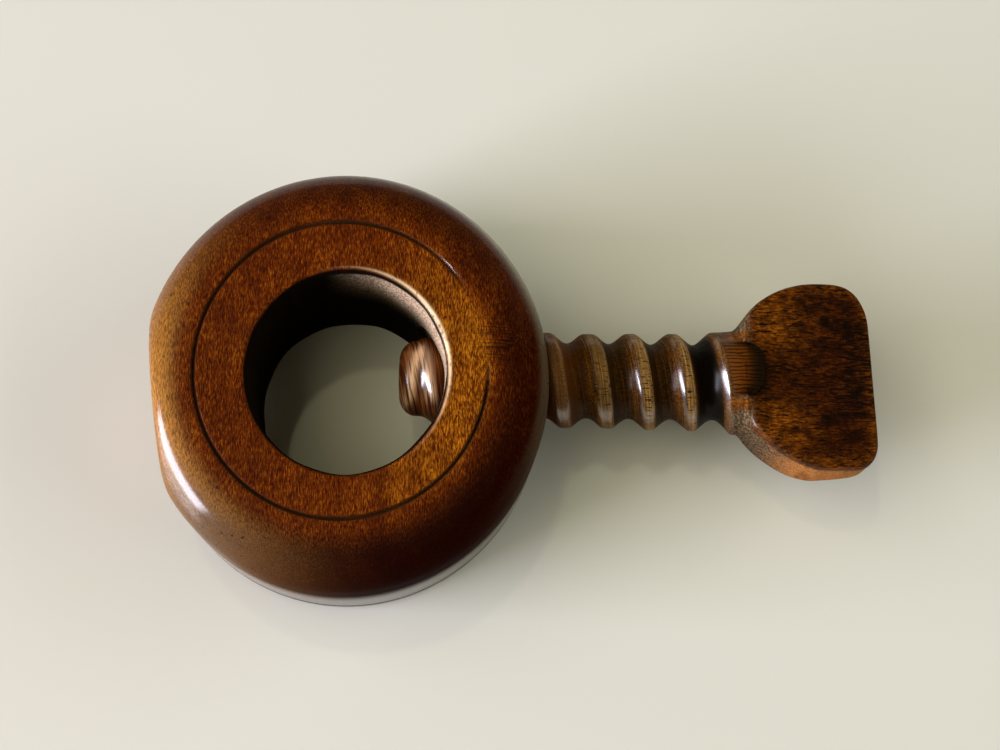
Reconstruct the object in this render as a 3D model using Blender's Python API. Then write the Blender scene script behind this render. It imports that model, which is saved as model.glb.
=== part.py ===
"""Pocket nutcracker of two pieces of wood: a turned ring that holds the nut, and a coarse screw that cracks it.

The ring lies flat on its base, with its upright hole as the nut chamber. The screw enters the ring's wall from
+X, on a thread that is cut by the same formula in both pieces, and ends in a flat thumb-piece. Its nose is the
plain round end that presses on the nut.
"""
import math

import bmesh
import bpy
import numpy as np
from mathutils import Matrix, Vector

MM = 0.001

# Clearances
RUNNING_GAP = 0.3 * MM
THREAD_CLEARANCE = 0.42 * MM
CUT_OVERRUN = 4.0 * MM
WELD_DISTANCE = 0.01 * MM

# Ring: sizes across the grain, which runs along Y
CHAMBER_RADIUS = 13.6 * MM
CHAMBER_RIM_ROUND = 0.9 * MM
CHAMBER_FOOT_ROUND = 0.5 * MM
CHAMBER_OFF_CENTRE = (0.4 * MM, -0.65 * MM)
LAND_WIDTH = 5.55 * MM
CIRCLE_WIDTH = 0.7 * MM
CIRCLE_DEPTH = 0.5 * MM
CIRCLE_OFF_CENTRE = (-0.3 * MM, -0.1 * MM)
SHOULDER_WIDTH = 8.45 * MM
SHOULDER_DROP = 6.6 * MM
RING_HEIGHT = 24.4 * MM
SIDE_WALL_DRAW = 0.25 * MM
SIDE_LINE_LIFT = 1.4 * MM
SIDE_LINE_WIDTH = 0.5 * MM
SIDE_LINE_DEPTH = 0.35 * MM
BASE_ROUND = 1.1 * MM
FACET_DEPTH = 2.35 * MM
FACET_TURN = math.radians(8.0)
GRAIN_STRETCH_SHARE = 1.048
RING_STEPS = 72
SHOULDER_STEPS = 8
ROUND_STEPS = 3

# Thread: cut alike in the screw and in the ring
PITCH = 6.2 * MM
THREAD_ROOT_RADIUS = 5.5 * MM
THREAD_DEPTH = 1.75 * MM
CREST_LAND_SHARE = 0.12
CREST_PLACE = 3.8 * MM
THREAD_STEPS = 36
THREAD_PROFILE_SHARES = (0, 0.06, 0.15, 0.25, 0.37, 0.5, 0.63, 0.75, 0.85, 0.94)

# Screw: how it lies in the ring, and its stretches from the nose outward
SCREW_OFF_CENTRE = 1.7 * MM
SCREW_BELOW_MIDDLE = 0.2 * MM
NOSE_REACH = 6.55 * MM
NOSE_LENGTH = 2.6 * MM
NOSE_FLAT_RADIUS = 2.6 * MM
NOSE_STEPS = 6
RIDGE_RISE = 3.1 * MM
THREAD_OUTSIDE = 24.7 * MM
GROOVE_RUN_OUT_SHARE = 0.09
COLLAR_RISE = 3.9 * MM
COLLAR_RADIUS = 7.65 * MM
TONGUE_LENGTH = 2.9 * MM
TONGUE_RADIUS = 7.0 * MM
TONGUE_ROUND = 0.9 * MM

# Thumb-piece: a disc with its far end cut straight
THUMB_ROOTING = 2.9 * MM
THUMB_RADIUS = 14.0 * MM
THUMB_FAR_REACH = 7.9 * MM
THUMB_CORNER_POWER = 3.6
THUMB_END_LEAN = math.radians(1.5)
THUMB_THICKNESS = 11.8 * MM
THUMB_FACE_ROUND = 0.7 * MM
THUMB_BELLY_ROUND = 2.8 * MM
THUMB_DISC_STEPS = 9
THUMB_END_STEPS = 8
THUMB_FACE_STEPS = 2
THUMB_BELLY_STEPS = 4

SMOOTH_ANGLE = math.radians(35.0)

# Places that follow from the sizes, measured from the ring's own middle
CIRCLE_RADIUS = CHAMBER_RADIUS + CHAMBER_RIM_ROUND + LAND_WIDTH + CIRCLE_WIDTH / 2
SHOULDER_START = CIRCLE_RADIUS + CIRCLE_WIDTH / 2
RING_RADIUS = SHOULDER_START + SHOULDER_WIDTH
WALL_FOOT_RADIUS = RING_RADIUS - SIDE_WALL_DRAW
SIDE_LINE_HEIGHT = BASE_ROUND + SIDE_LINE_LIFT
FACET_DISTANCE = RING_RADIUS - FACET_DEPTH
CREST_RADIUS = THREAD_ROOT_RADIUS + THREAD_DEPTH
SCREW_AXIS = (0, SCREW_OFF_CENTRE, RING_HEIGHT / 2 - SCREW_BELOW_MIDDLE)
NOSE_TIP = CHAMBER_OFF_CENTRE[0] + CHAMBER_RADIUS - NOSE_REACH
NOSE_BACK = NOSE_TIP + NOSE_LENGTH
SCREW_START = NOSE_BACK + RUNNING_GAP
GROOVE_END = RING_RADIUS + THREAD_OUTSIDE
COLLAR_START = GROOVE_END - COLLAR_RISE
COLLAR_END = GROOVE_END + (GROOVE_RUN_OUT_SHARE + 0.5) * PITCH
TONGUE_END = COLLAR_END + TONGUE_LENGTH
THUMB_CENTRE = COLLAR_END - THUMB_ROOTING + THUMB_RADIUS
THUMB_END = THUMB_CENTRE + THUMB_FAR_REACH


def wood(name, colour, roughness):
    """One waxed wood, as a Principled material."""
    material = bpy.data.materials.new(name)
    material.use_nodes = True
    shader = material.node_tree.nodes["Principled BSDF"]
    shader.inputs["Base Color"].default_value = (*colour, 1)
    shader.inputs["Roughness"].default_value = roughness
    shader.inputs["Metallic"].default_value = 0
    material.diffuse_color = (*colour, 1)
    return material


def new_object(name, bm, material=None):
    """Turns a bmesh into a named object with outward faces and smooth round sides."""
    bmesh.ops.recalc_face_normals(bm, faces=bm.faces)
    mesh = bpy.data.meshes.new(name)
    bm.to_mesh(mesh)
    bm.free()
    mesh.shade_smooth()
    mesh.set_sharp_from_angle(angle=SMOOTH_ANGLE)
    if material is not None:
        mesh.materials.append(material)
    item = bpy.data.objects.new(name, mesh)
    bpy.context.scene.collection.objects.link(item)
    return item


def as_helper(item):
    """Hides an object that only cuts or joins."""
    item.hide_render = True
    item.display_type = "WIRE"
    return item


def add_boolean(item, tool, operation):
    """Cuts or joins one object with another by an exact Boolean."""
    boolean = item.modifiers.new(tool.name, "BOOLEAN")
    boolean.solver = "EXACT"
    boolean.operation = operation
    boolean.object = tool


def arc(centre, radii, first_angle, last_angle, steps):
    """Points of an elliptic arc as pairs of radius and height, both ends included."""
    angles = np.linspace(first_angle, last_angle, steps + 1)
    return [(centre[0] + radii[0] * math.cos(a), centre[1] + radii[1] * math.sin(a)) for a in angles]


def v_cut(point, along, inward, width, depth):
    """The three points of a V-shaped incised line that is centred on a point of the profile."""
    middle = Vector(point)
    half = Vector(along) * width / 2
    return [tuple(middle - half), tuple(middle + Vector(inward) * depth), tuple(middle + half)]


def ring_profile():
    """The ring's turned section, from the foot of the chamber up, over the shoulder and round to the base."""
    quarter = math.pi / 2
    rim_centre = (CHAMBER_RADIUS + CHAMBER_RIM_ROUND, RING_HEIGHT - CHAMBER_RIM_ROUND)
    foot_centre = (CHAMBER_RADIUS + CHAMBER_FOOT_ROUND, CHAMBER_FOOT_ROUND)
    shoulder_centre = (SHOULDER_START, RING_HEIGHT - SHOULDER_DROP)
    base_centre = (WALL_FOOT_RADIUS - BASE_ROUND, BASE_ROUND)
    points = arc(foot_centre, (CHAMBER_FOOT_ROUND,) * 2, 3 * quarter, 2 * quarter, ROUND_STEPS)
    points += arc(rim_centre, (CHAMBER_RIM_ROUND,) * 2, 2 * quarter, quarter, ROUND_STEPS)
    points += v_cut((CIRCLE_RADIUS, RING_HEIGHT), (1, 0), (0, -1), CIRCLE_WIDTH, CIRCLE_DEPTH)
    points += arc(shoulder_centre, (SHOULDER_WIDTH, SHOULDER_DROP), quarter, 0, SHOULDER_STEPS)[1:]
    points += v_cut((WALL_FOOT_RADIUS, SIDE_LINE_HEIGHT), (0, -1), (-1, 0), SIDE_LINE_WIDTH, SIDE_LINE_DEPTH)
    points += arc(base_centre, (BASE_ROUND,) * 2, 0, -quarter, ROUND_STEPS)
    return points


def season(vertices):
    """Lets the turned ring shrink across its grain, and sets its chamber and its circle off the centre."""
    radii = (0, CHAMBER_RADIUS + CHAMBER_RIM_ROUND, CIRCLE_RADIUS, WALL_FOOT_RADIUS - BASE_ROUND)
    for vertex in vertices:
        radius = vertex.co.xy.length
        for axis in range(2):
            places = (CHAMBER_OFF_CENTRE[axis], CHAMBER_OFF_CENTRE[axis], CIRCLE_OFF_CENTRE[axis], 0)
            stretch = GRAIN_STRETCH_SHARE if axis else 1
            vertex.co[axis] = vertex.co[axis] * stretch + np.interp(radius, radii, places)


def turned_ring(material):
    """The ring as it comes off the lathe: its section spun about Z."""
    bm = bmesh.new()
    corners = [bm.verts.new((radius, 0, height)) for radius, height in ring_profile()]
    edges = [bm.edges.new(pair) for pair in zip(corners, corners[1:] + corners[:1])]
    bmesh.ops.spin(bm, geom=corners + edges, cent=(0, 0, 0), axis=(0, 0, 1), angle=2 * math.pi,
                   steps=RING_STEPS, use_merge=True, use_duplicate=False)
    season(bm.verts)
    return new_object("ring", bm, material)


def facet_cutter():
    """A block whose inner side is the flat facet opposite the screw."""
    bm = bmesh.new()
    bmesh.ops.create_cube(bm, size=1)
    depth = FACET_DEPTH + CUT_OVERRUN
    size = (depth, 2 * RING_RADIUS, RING_HEIGHT + 2 * CUT_OVERRUN)
    bmesh.ops.scale(bm, vec=size, verts=bm.verts)
    middle = (-FACET_DISTANCE - depth / 2, 0, RING_HEIGHT / 2)
    bmesh.ops.translate(bm, vec=middle, verts=bm.verts)
    bmesh.ops.rotate(bm, cent=(0, 0, 0), matrix=Matrix.Rotation(FACET_TURN, 3, "Z"), verts=bm.verts)
    return as_helper(new_object("facet_cutter", bm))


def groove_share(angle, along):
    """How deep the thread's groove is at a place, from 0 on a crest to 1 in the valley, and the valley's place.

    The angle is measured from +Y towards +Z. A right-handed crest moves one pitch along +X in one turn.
    """
    turns = (along - CREST_PLACE) / PITCH - angle / (2 * math.pi)
    from_valley = turns - math.floor(turns) - 0.5
    reach = min(1, abs(from_valley) / (0.5 - CREST_LAND_SHARE / 2))
    valley = along - from_valley * PITCH
    return (1 + math.cos(math.pi * reach)) / 2, valley


def tapped_radius(angle, along):
    """Radius of the ring's threaded hole: the screw's full thread with its clearance all round."""
    share, _ = groove_share(angle, along)
    return CREST_RADIUS - THREAD_DEPTH * share + THREAD_CLEARANCE


def screw_radius(angle, along):
    """Radius of the screw: the ridge rises from the plain nose, and the groove runs out in the collar."""
    share, valley = groove_share(angle, along)
    run_out = np.interp(valley, (GROOVE_END, GROOVE_END + GROOVE_RUN_OUT_SHARE * PITCH), (1, 0))
    places = (NOSE_BACK, NOSE_BACK + RIDGE_RISE, COLLAR_START, COLLAR_END)
    crest = np.interp(along, places, (THREAD_ROOT_RADIUS, CREST_RADIUS, CREST_RADIUS, COLLAR_RADIUS))
    return crest - (crest - THREAD_ROOT_RADIUS) * share * run_out


def axis_point(angle, along, radius):
    """A point at an angle and a radius about the screw's axis."""
    return Vector((along, radius * math.cos(angle), radius * math.sin(angle)))


def add_grid(bm, rows):
    """Faces between each row of points and the next."""
    made = [[bm.verts.new(point) for point in row] for row in rows]
    for lower, upper in zip(made, made[1:]):
        for a, b, c, d in zip(lower, lower[1:], upper[1:], upper):
            bm.faces.new((a, b, c, d))


def add_thread(bm, start, end, radius_at):
    """A threaded stretch: rows that climb with the helix, trimmed to flat ends where they pass them."""
    shares = THREAD_PROFILE_SHARES + (1,)
    first_turn = math.floor((start - CREST_PLACE) / PITCH) - 1
    last_turn = math.ceil((end - CREST_PLACE) / PITCH)
    rows = []
    for step in range((last_turn - first_turn) * THREAD_STEPS + 1):
        turn = step / THREAD_STEPS
        angle = 2 * math.pi * (step % THREAD_STEPS) / THREAD_STEPS
        places = [CREST_PLACE + (first_turn + turn + share) * PITCH for share in shares]
        places = [min(max(place, start), end) for place in places]
        rows.append([axis_point(angle, place, radius_at(angle, place)) for place in places])
    add_grid(bm, rows)


def add_turning(bm, profile):
    """A turned stretch about the screw's axis, from points of place and radius."""
    angles = [2 * math.pi * (step % THREAD_STEPS) / THREAD_STEPS for step in range(THREAD_STEPS + 1)]
    add_grid(bm, [[axis_point(angle, along, radius) for angle in angles] for along, radius in profile])


def close_body(bm):
    """Welds the stretches into one skin and caps its open round ends."""
    bmesh.ops.remove_doubles(bm, verts=bm.verts, dist=WELD_DISTANCE)
    open_edges = [edge for edge in bm.edges if edge.is_boundary]
    if open_edges:
        bmesh.ops.holes_fill(bm, edges=open_edges, sides=0)


def tapped_hole_cutter():
    """The threaded rod that cuts the ring's wall, from the middle of the chamber to the outside."""
    bm = bmesh.new()
    add_thread(bm, CHAMBER_OFF_CENTRE[0], RING_RADIUS + CUT_OVERRUN, tapped_radius)
    close_body(bm)
    cutter = as_helper(new_object("tapped_hole_cutter", bm))
    cutter.location = SCREW_AXIS
    return cutter


def thumb_half_width(along):
    """Half the width of the thumb-piece at a place along it: a disc, then a fuller curve to the cut end."""
    if along < THUMB_CENTRE:
        return math.sqrt(max(0, THUMB_RADIUS ** 2 - (THUMB_CENTRE - along) ** 2))
    share = (along - THUMB_CENTRE) / THUMB_FAR_REACH
    return THUMB_RADIUS * max(0, 1 - share ** THUMB_CORNER_POWER) ** (1 / THUMB_CORNER_POWER)


def thumb_outline():
    """The thumb-piece seen from above, as places along the axis with their half widths."""
    disc_angles = np.linspace(0, math.pi / 2, THUMB_DISC_STEPS + 1)[1:]
    end_angles = np.linspace(0, math.pi / 2, THUMB_END_STEPS + 1)[1:-1]
    places = [THUMB_CENTRE - THUMB_RADIUS * math.cos(angle) for angle in disc_angles]
    places += [THUMB_CENTRE + THUMB_FAR_REACH * math.sin(angle) ** (2 / THUMB_CORNER_POWER)
               for angle in end_angles]
    return [(place, thumb_half_width(place)) for place in places]


def thumb_lean(along):
    """How far the outline moves along for each step across, so that its far end leans and its disc doesn't."""
    return -math.tan(THUMB_END_LEAN) * max(0, along - THUMB_CENTRE) / THUMB_FAR_REACH


def thumb_slab():
    """The flat thumb-piece: its outline extruded to its thickness, with a crisp face and a rounded belly."""
    side = thumb_outline()
    far_half_width = side[-1][1]
    outline = [(THUMB_CENTRE - THUMB_RADIUS, 0)] + side + [(THUMB_END, far_half_width / 2)]
    outline += [(place, -half) for place, half in reversed(outline[1:])]
    outline = [(place + thumb_lean(place) * across, across) for place, across in outline]
    bm = bmesh.new()
    corners = [bm.verts.new((place, across, -THUMB_THICKNESS / 2)) for place, across in outline]
    floor = bm.faces.new(corners)
    grown = bmesh.ops.extrude_face_region(bm, geom=[floor])["geom"]
    lifted = [part for part in grown if isinstance(part, bmesh.types.BMVert)]
    bmesh.ops.translate(bm, vec=(0, 0, THUMB_THICKNESS), verts=lifted)
    face_side = (1, THUMB_FACE_ROUND, THUMB_FACE_STEPS)
    belly_side = (-1, THUMB_BELLY_ROUND, THUMB_BELLY_STEPS)
    for side_sign, edge_round, steps in (face_side, belly_side):
        level = side_sign * THUMB_THICKNESS / 2
        rim = [edge for edge in bm.edges if all(abs(vert.co.z - level) < WELD_DISTANCE for vert in edge.verts)]
        bmesh.ops.bevel(bm, geom=rim, offset=edge_round, offset_type="OFFSET", profile=0.5,
                        segments=steps, affect="EDGES")
    slab = as_helper(new_object("thumb_slab", bm))
    slab.location = SCREW_AXIS
    return slab


def collar_profile():
    """The collar and the tongue that it leaves on the faces, as places and radii down to the axis."""
    quarter = math.pi / 2
    end_arc = arc((TONGUE_END - TONGUE_ROUND, TONGUE_RADIUS - TONGUE_ROUND), (TONGUE_ROUND,) * 2,
                  quarter, 0, ROUND_STEPS)
    return [(COLLAR_END, COLLAR_RADIUS)] + end_arc + [(TONGUE_END, 0)]


def threaded_screw(material):
    """The screw from behind its nose to the thumb-piece, in one piece of wood."""
    bm = bmesh.new()
    add_thread(bm, SCREW_START, COLLAR_END, screw_radius)
    add_turning(bm, collar_profile())
    close_body(bm)
    screw = new_object("screw", bm, material)
    screw.location = SCREW_AXIS
    return screw


def round_nose(material):
    """The plain domed end of the screw, which presses on the nut."""
    dome_radii = (-NOSE_LENGTH, THREAD_ROOT_RADIUS - NOSE_FLAT_RADIUS)
    dome = arc((NOSE_BACK, NOSE_FLAT_RADIUS), dome_radii, 0, math.pi / 2, NOSE_STEPS)
    bm = bmesh.new()
    add_turning(bm, [(NOSE_TIP, 0)] + dome + [(NOSE_BACK, 0)])
    close_body(bm)
    nose = new_object("screw_nose", bm, material)
    nose.location = SCREW_AXIS
    return nose


def overall_box(items):
    """Corners of the box that holds the finished shapes of some objects."""
    depsgraph = bpy.context.evaluated_depsgraph_get()
    corners = []
    for item in items:
        finished = item.evaluated_get(depsgraph)
        corners += [item.matrix_world @ vertex.co for vertex in finished.data.vertices]
    return np.min(corners, axis=0), np.max(corners, axis=0)


def stand_on_centre(pieces, helpers):
    """Parents everything to one empty, so that the middle of the base of the whole lies at the origin."""
    frame = bpy.data.objects.new("nutcracker_frame", None)
    bpy.context.scene.collection.objects.link(frame)
    low, high = overall_box(pieces)
    frame.location = (-(low[0] + high[0]) / 2, -(low[1] + high[1]) / 2, -low[2])
    for item in pieces + helpers:
        item.parent = frame


def main():
    """Clears the scene and builds the nutcracker."""
    for item in list(bpy.data.objects):
        bpy.data.objects.remove(item)
    ring_wood = wood("ring_wood", (0.27, 0.105, 0.03), 0.28)
    screw_wood = wood("screw_wood", (0.22, 0.105, 0.04), 0.38)
    nose_wood = wood("nose_wood", (0.2, 0.075, 0.035), 0.3)
    ring = turned_ring(ring_wood)
    screw = threaded_screw(screw_wood)
    nose = round_nose(nose_wood)
    facet = facet_cutter()
    tapped_hole = tapped_hole_cutter()
    slab = thumb_slab()
    add_boolean(ring, facet, "DIFFERENCE")
    add_boolean(ring, tapped_hole, "DIFFERENCE")
    add_boolean(screw, slab, "UNION")
    bpy.context.view_layer.update()
    stand_on_centre([ring, screw, nose], [facet, tapped_hole, slab])


main()
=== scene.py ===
# %% [markdown]
# # A pocket nutcracker of two pieces of wood
# A thick turned ring holds the nut, and a coarse wooden screw with a flat thumb-piece is turned in through the
# ring's wall. The packed part gives every place. This lesson works out finer skins for the same two pieces as
# numpy grids, gives them old waxed fruitwood, and lights them the way the photograph is lit.

import bpy
import numpy as np
from mathutils import Matrix, Vector


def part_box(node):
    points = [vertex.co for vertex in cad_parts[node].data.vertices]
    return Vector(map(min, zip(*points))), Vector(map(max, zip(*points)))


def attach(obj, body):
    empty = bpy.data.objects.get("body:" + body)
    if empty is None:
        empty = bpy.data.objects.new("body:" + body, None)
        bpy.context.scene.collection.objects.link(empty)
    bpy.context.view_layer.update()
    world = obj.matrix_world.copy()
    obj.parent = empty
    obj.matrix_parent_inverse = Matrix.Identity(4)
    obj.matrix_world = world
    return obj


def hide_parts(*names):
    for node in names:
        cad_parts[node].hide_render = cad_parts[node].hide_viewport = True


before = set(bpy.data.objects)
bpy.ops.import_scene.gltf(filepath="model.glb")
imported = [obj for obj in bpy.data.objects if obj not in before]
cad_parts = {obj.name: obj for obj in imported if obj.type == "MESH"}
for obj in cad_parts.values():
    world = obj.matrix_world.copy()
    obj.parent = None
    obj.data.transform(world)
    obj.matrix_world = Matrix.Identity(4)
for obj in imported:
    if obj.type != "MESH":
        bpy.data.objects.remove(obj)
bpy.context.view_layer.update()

# %% [markdown]
# ## The camera
# The photograph was taken from nearly overhead, a hand's breadth in front of the ring and slightly rolled. The
# outlines of the round hole, of the ring and of the thread's crests fix the angles. A lens of 57.6 mm on a
# 36 mm sensor is the same view as 1600 pixels of focal length in a picture 1000 pixels wide.

# %% The camera
MM = 0.001
CAMERA_PLACE = (-12.22, -61.13, 238.02)
CAMERA_HEADING = -0.16076
CAMERA_TILT = 0.27755
CAMERA_ROLL = 0.16933
camera_data = bpy.data.cameras.new("camera")
camera_data.lens = 57.6
camera_data.sensor_width = 36
camera = bpy.data.objects.new("camera", camera_data)
bpy.context.scene.collection.objects.link(camera)
camera_turn = (Matrix.Rotation(CAMERA_HEADING, 4, "Z") @ Matrix.Rotation(CAMERA_TILT, 4, "X")
               @ Matrix.Rotation(CAMERA_ROLL, 4, "Z"))
camera.matrix_world = Matrix.Translation(Vector(CAMERA_PLACE) * MM) @ camera_turn
bpy.context.scene.camera = camera
print("The camera is", round(camera.location.z / MM), "mm above the table")

# %% [markdown]
# ## The sizes
# The two pieces have to fit where the part's own solids are, so their sizes are the same. Whatever the packed
# nodes can tell is measured on them: the plain round nose gives the screw's axis and its core, and the ring
# gives its height. The rest are the turner's sizes, in millimetres, counted from the middle of the ring.

# %% The sizes
nose_low, nose_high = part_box("screw_nose")
ring_low, ring_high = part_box("ring")
RING_HEIGHT = ring_high.z - ring_low.z
THREAD_ROOT = (nose_high.z - nose_low.z) / 2
NOSE_LENGTH = nose_high.x - nose_low.x
NOSE_TIP = 7.45 * MM
RING_MIDDLE = np.array([nose_low.x - NOSE_TIP, 0, 0])
SCREW_AXIS = np.array([RING_MIDDLE[0], (nose_low.y + nose_high.y) / 2, (nose_low.z + nose_high.z) / 2])
PITCH = 6.2 * MM
THREAD_DEPTH = 1.75 * MM
THREAD_CREST = THREAD_ROOT + THREAD_DEPTH
CREST_PLACE = 3.8 * MM
CREST_LAND_SHARE = 0.12
print("Screw axis", (SCREW_AXIS / MM).round(2), "mm, core radius", round(THREAD_ROOT / MM, 2), "mm")

# %% [markdown]
# ## One skin from one grid
# Both pieces are made the same way: a grid of points whose rows follow the piece and whose columns go round it.
# The columns always close on themselves. The rows close too on a ring, and end in a single point on a rod. The
# enclosed volume tells which way the faces look: if it comes out negative, every face is turned over.

# %% One skin from one grid
def once_round(columns):
    """The angles of a grid's columns, evenly once round."""
    return np.linspace(0, 2 * np.pi, columns, endpoint=False)[None, :]


def grid_faces(rows, columns, closed_rows):
    """Four corners of every cell: a cell joins a row to the next and a column to the next, counted round."""
    row = np.arange(rows if closed_rows else rows - 1)[:, None]
    column = np.arange(columns)[None, :]
    beside, above = (column + 1) % columns, (row + 1) % rows
    corners = [row * columns + column, row * columns + beside, above * columns + beside, above * columns + column]
    return np.stack(np.broadcast_arrays(*corners), axis=-1).reshape(-1, 4)


def enclosed_volume(points, faces):
    """Sum over the faces of a third of the height of each pyramid to the origin, by the triple product."""
    a, b, c = points[faces[:, 0]], points[faces[:, 1]], points[faces[:, 2]]
    return np.einsum("ij,ij->i", np.cross(a, b), c).sum() / 6


def make_piece(name, grid, closed_rows):
    """Makes a mesh of a grid of shape (rows, columns, 3). An open grid gets a point in the middle of each end."""
    rows, columns = grid.shape[:2]
    points = grid.reshape(-1, 3)
    faces = grid_faces(rows, columns, closed_rows)
    ends = np.zeros((0, 3), int)
    if not closed_rows:
        points = np.concatenate([points, [grid[0].mean(axis=0)], [grid[-1].mean(axis=0)]])
        column = np.arange(columns)
        beside = (column + 1) % columns
        last = (rows - 1) * columns
        first_end = np.stack([np.full(columns, rows * columns), beside, column], axis=-1)
        last_end = np.stack([np.full(columns, rows * columns + 1), last + column, last + beside], axis=-1)
        ends = np.concatenate([first_end, last_end])
    triangles = np.concatenate([faces[:, [0, 1, 2]], faces[:, [0, 2, 3]], ends])
    if enclosed_volume(points, triangles) < 0:
        faces, ends = faces[:, ::-1], ends[:, ::-1]
    mesh = bpy.data.meshes.new(name)
    mesh.from_pydata(points.tolist(), [], faces.tolist() + ends.tolist())
    mesh.shade_smooth()
    piece = bpy.data.objects.new(name, mesh)
    bpy.context.scene.collection.objects.link(piece)
    print(name, "has", len(points), "points and", len(triangles), "triangles")
    return piece


print("A grid of 3 rows and 4 columns, closed both ways, has", len(grid_faces(3, 4, True)), "faces")

# %% [markdown]
# ## Numbers on the points of a mesh
# A mesh can carry a number for every point, and a material can read it. So can this script: the points' places
# come out as an array, a formula turns them into numbers, and the numbers go back in under a name.

# %% Numbers on the points of a mesh
def store(piece, name, values):
    """Keeps one number for each point of a mesh, under a name that a material can read."""
    layer = piece.data.attributes.new(name, "FLOAT", "POINT")
    layer.data.foreach_set("value", np.ascontiguousarray(values, dtype=np.float32).ravel())


def places_of(piece):
    """The points of a mesh as an array of shape (points, 3)."""
    places = np.empty(3 * len(piece.data.vertices), dtype=np.float32)
    piece.data.vertices.foreach_get("co", places)
    return places.reshape(-1, 3).astype(float)


print("Places and marks are kept as numbers of", np.dtype(np.float32).itemsize, "bytes")

# %% [markdown]
# ## The ring's section
# A turner would call this shape a bead with a hole: a flat face round the chamber, one incised circle, a full
# round shoulder, an almost upright side with a second fine line, and a flat base. A section like this could be
# drawn as a curve and spun. Worked out as arrays it can also be warped before it becomes a mesh. Decades of nuts
# have worn the chamber's mouth round, and have opened the first few millimetres of its wall very slightly.

# %% The ring's section
CHAMBER_RADIUS = 13.6 * MM
MOUTH_FLARE = 0.75 * MM
MOUTH_DEPTH = 0.95 * MM
WALL_FLARE = 0.2 * MM
WALL_FLARE_DEPTH = 6.5 * MM
FOOT_ROUND = 0.5 * MM
CIRCLE_RADIUS = 20.4 * MM
CIRCLE_WIDTH = 0.86 * MM
CIRCLE_DEPTH = 0.5 * MM
SHOULDER_WIDTH = 8.45 * MM
SHOULDER_DROP = 6.6 * MM
RING_RADIUS = CIRCLE_RADIUS + 0.35 * MM + SHOULDER_WIDTH
SIDE_DRAW = 0.25 * MM
SIDE_LINE_HEIGHT = 2.5 * MM
SIDE_LINE_WIDTH = 0.5 * MM
SIDE_LINE_DEPTH = 0.35 * MM
BASE_ROUND = 1.1 * MM


def worn_corner(start, end, bulge, steps):
    """Points of a rounded corner: a superellipse, |x|^p + |y|^p = 1, whose power p is 1 for a straight chamfer."""
    angle = np.linspace(0, np.pi / 2, steps)
    across = 1 - np.cos(angle) ** (2 / bulge)
    up = np.sin(angle) ** (2 / bulge)
    return np.stack([start[0] + (end[0] - start[0]) * across, start[1] + (end[1] - start[1]) * up], axis=-1)


def straight(start, end, steps):
    """Points evenly along a straight stretch, without its ends."""
    share = np.linspace(0, 1, steps + 2)[1:-1, None]
    return np.array(start) + (np.array(end) - np.array(start)) * share


def ring_section():
    """The closed section as (radius, height): up the chamber, out over the shoulder, down and back in."""
    wall_foot = RING_RADIUS - SIDE_DRAW
    shoulder_start = RING_RADIUS - SHOULDER_WIDTH
    shoulder_foot = RING_HEIGHT - SHOULDER_DROP
    flared = CHAMBER_RADIUS + WALL_FLARE
    corners = [
        worn_corner((CHAMBER_RADIUS, FOOT_ROUND), (CHAMBER_RADIUS + FOOT_ROUND, 0), 2, 6)[::-1],
        straight((CHAMBER_RADIUS, FOOT_ROUND), (CHAMBER_RADIUS, RING_HEIGHT - WALL_FLARE_DEPTH), 16),
        straight((CHAMBER_RADIUS, RING_HEIGHT - WALL_FLARE_DEPTH), (flared, RING_HEIGHT - MOUTH_DEPTH), 14),
        worn_corner((flared, RING_HEIGHT - MOUTH_DEPTH), (flared + MOUTH_FLARE, RING_HEIGHT), 1.75, 16),
        straight((flared + MOUTH_FLARE, RING_HEIGHT), (shoulder_start, RING_HEIGHT), 50),
        worn_corner((RING_RADIUS, shoulder_foot), (shoulder_start, RING_HEIGHT), 2, 34)[::-1],
        straight((RING_RADIUS, shoulder_foot), (wall_foot, BASE_ROUND), 38),
        worn_corner((wall_foot, BASE_ROUND), (wall_foot - BASE_ROUND, 0), 2, 7),
        straight((wall_foot - BASE_ROUND, 0), (CHAMBER_RADIUS + FOOT_ROUND, 0), 14),
    ]
    return np.concatenate(corners)


section = ring_section()
section_width = section[:, 0].max() - section[:, 0].min()
print("The section has", len(section), "points and is", round(section_width / MM, 2), "mm from chamber to side")

# %% [markdown]
# ## Rounded joins and incised lines
# Old edges are never sharp. Where a flat meets a round side, the plain lesser of two distances would leave a hard
# edge, so a smooth lesser is used, which rounds the join over a chosen length. An incised line is a narrow valley
# with round lips, and a worn or stained place fades out evenly like a hump. These are small functions, because the
# ring and the screw need them again and again.

# %% Rounded joins and incised lines
def smooth_least(a, b, blend):
    """The lesser of two lengths, rounded over where they are within a blend length of each other."""
    near = np.maximum(blend - np.abs(a - b), 0) / blend
    return np.minimum(a, b) - near ** 2 * blend / 4


def smooth_most(a, b, blend):
    """The greater of two lengths, rounded over in the same way."""
    return -smooth_least(-a, -b, blend)


def valley(distance, width):
    """Depth share of an incised line: 1 at its middle, falling as a raised cosine to 0 at half its width."""
    return (1 + np.cos(np.pi * np.clip(2 * np.abs(distance) / width, 0, 1))) / 2


def hump(distance, size):
    """A round rise, exp(-(distance / size)^2): 1 in its middle and about a third of that one size away."""
    return np.exp(-(distance / size) ** 2)


print("Where two lengths are 1 and the blend is 1, the smooth lesser is", smooth_least(1.0, 1.0, 1.0))

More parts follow.
